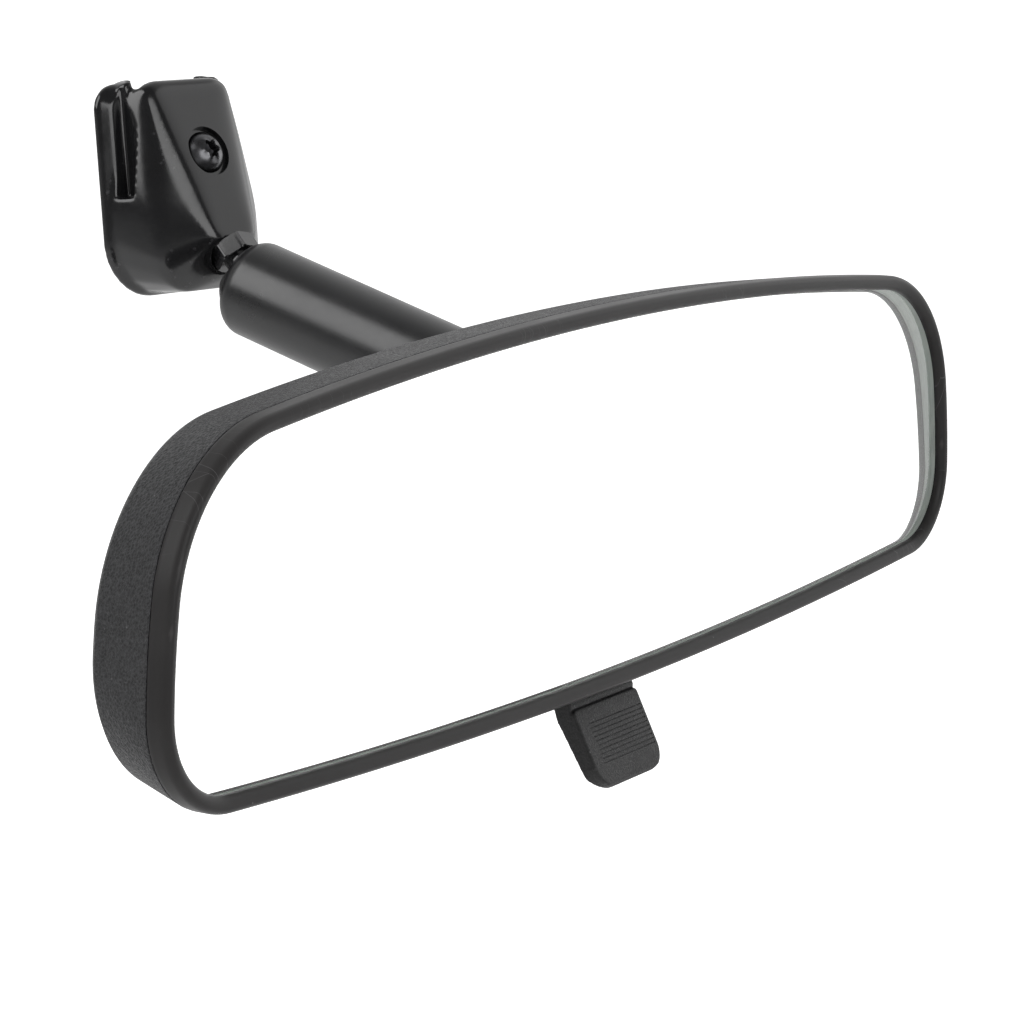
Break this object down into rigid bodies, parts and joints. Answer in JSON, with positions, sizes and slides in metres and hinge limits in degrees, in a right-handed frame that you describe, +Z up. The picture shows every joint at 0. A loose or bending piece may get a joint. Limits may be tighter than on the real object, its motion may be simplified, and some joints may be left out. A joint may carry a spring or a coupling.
{
  "type": "interior rearview mirror",
  "caption": "Prismatic interior rearview mirror on a double-ball arm, with a day and night lever and a windscreen button mount.",
  "frame": {"origin": "centre of the mount's back face, in the mouth of the button channel", "axes": "+Z up, +X along the long side of the mirror head, the glass faces -Y, and the windscreen side is +Y"},
  "size_m": [0.2398, 0.1006, 0.1096],
  "materials": {
    "mount_paint": "gloss black paint on die-cast zinc",
    "black_screw": "black zinc plating",
    "black_steel": "gloss black coating",
    "bare_steel": "zinc plated",
    "arm_paint": "satin black powder coat",
    "spring_steel": "oiled spring steel",
    "nylon": "dark nylon",
    "acetal": "natural acetal",
    "carrier_metal": "die-cast",
    "case_plastic": "moulded leather grain",
    "bezel_plastic": "smooth satin",
    "glass": "clear prismatic glass",
    "silver_coat": "silvered back of the glass",
    "foam": "adhesive foam",
    "frame_steel": "zinc plated sheet",
    "rubber": "soft black rubber",
    "lever_plastic": "fine grain"
  },
  "bodies": {
    "mount": {"mount_base": "mount_paint", "clamp_shoe": "bare_steel", "mount_screw": "black_screw", "base_ball_stud": "black_steel"},
    "base_liner": {"base_ball_liner": "nylon"},
    "base_cup": {"base_ball_cup": "acetal"},
    "arm": {"arm_tube": "arm_paint", "arm_spring": "spring_steel"},
    "head_cup": {"head_ball_cup": "acetal"},
    "head_liner": {"head_ball_liner": "nylon"},
    "carrier": {"head_ball_stud": "black_steel", "stud_nut": "bare_steel", "pivot_carrier": "carrier_metal"},
    "head": {"rear_case": "case_plastic", "front_bezel": "bezel_plastic", "mirror_glass": "glass", "mirror_coating": "silver_coat", "glass_pad": "foam", "toggle_frame": "frame_steel", "frame_screws": "bare_steel", "carrier_hinge_pin": "bare_steel", "lever_pivot_pin": "bare_steel", "detent_spring": "spring_steel", "stop_bumpers": "rubber"},
    "lever": {"toggle_lever": "lever_plastic"}
  },
  "joints": [
    {"name": "arm_yaw", "type": "hinge", "parent": "mount", "child": "base_liner", "pos_m": [-0.00361, -0.02278, -0.01806], "axis": [0, 0, 1], "range_deg": [-12, 12]},
    {"name": "arm_pitch", "type": "hinge", "parent": "base_liner", "child": "base_cup", "pos_m": [-0.00361, -0.02278, -0.01806], "axis": [1, 0, 0], "range_deg": [-3, 45]},
    {"name": "arm_spin", "type": "hinge", "parent": "base_cup", "child": "arm", "pos_m": [-0.00361, -0.02278, -0.01806], "axis": [0, 0.9573, 0.289], "range_deg": [-30, 30]},
    {"name": "head_spin", "type": "hinge", "parent": "arm", "child": "head_cup", "pos_m": [-0.00361, -0.06921, -0.03208], "axis": [0, 0.9573, 0.289], "range_deg": [-15, 15]},
    {"name": "head_pitch", "type": "hinge", "parent": "head_cup", "child": "head_liner", "pos_m": [-0.00361, -0.06921, -0.03208], "axis": [1, 0, 0], "range_deg": [-10, 30]},
    {"name": "head_yaw", "type": "hinge", "parent": "head_liner", "child": "carrier", "pos_m": [-0.00361, -0.06921, -0.03208], "axis": [0, 0, 1], "range_deg": [-20, 20]},
    {"name": "day_night_tilt", "type": "hinge", "parent": "carrier", "child": "head", "pos_m": [-0.00361, -0.08051, -0.02438], "axis": [1, 0, 0], "range_deg": [0, 4]},
    {"name": "lever_swing", "type": "hinge", "parent": "head", "child": "lever", "pos_m": [-0.00361, -0.08601, -0.07038], "axis": [1, 0, 0], "range_deg": [0, 40]}
  ],
  "couplings": [
    {"joint": "lever_swing", "follows": "day_night_tilt", "ratio": 10}
  ]
}
